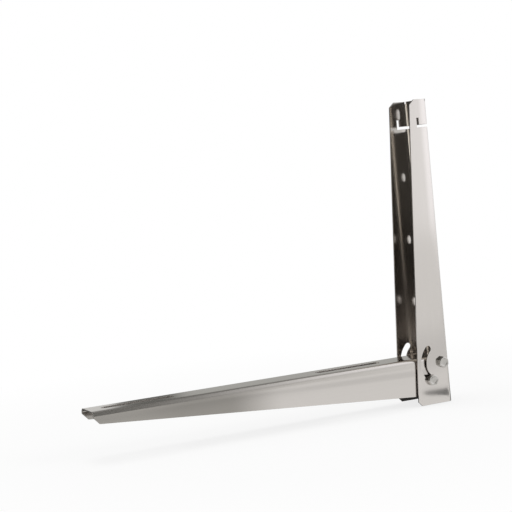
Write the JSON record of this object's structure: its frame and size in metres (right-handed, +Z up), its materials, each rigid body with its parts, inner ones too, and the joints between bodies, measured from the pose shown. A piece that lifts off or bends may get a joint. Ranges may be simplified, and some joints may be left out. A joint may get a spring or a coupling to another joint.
{
  "type": "folding wall bracket",
  "caption": "Folding stainless steel wall bracket: an upright channel for the wall and a tapered channel arm that drops down on a pivot bolt and a guide bolt.",
  "frame": {"origin": "on the wall plane, level with the arm's pivot and midway between the flanges", "axes": "+X out from the wall along the arm, +Y across the bracket from the nuts to the bolt heads, +Z up"},
  "size_m": [0.492, 0.0727, 0.4],
  "materials": {
    "polished_sheet": "polished stainless sheet",
    "bolt_steel": "plain stainless fastener"
  },
  "bodies": {
    "upright_body": {"upright": "polished_sheet", "pivot_bolt": "bolt_steel", "pivot_spring_washer": "bolt_steel", "pivot_washer": "bolt_steel", "pivot_nut": "bolt_steel"},
    "arm_body": {"arm": "polished_sheet", "guide_bolt": "bolt_steel", "guide_spring_washer": "bolt_steel", "guide_washer": "bolt_steel", "guide_nut": "bolt_steel"}
  },
  "joints": [
    {"name": "arm_fold", "type": "hinge", "parent": "upright_body", "child": "arm_body", "pos_m": [0.0109, 0, 0], "axis": [0, -1, 0], "range_deg": [0, 90]}
  ]
}
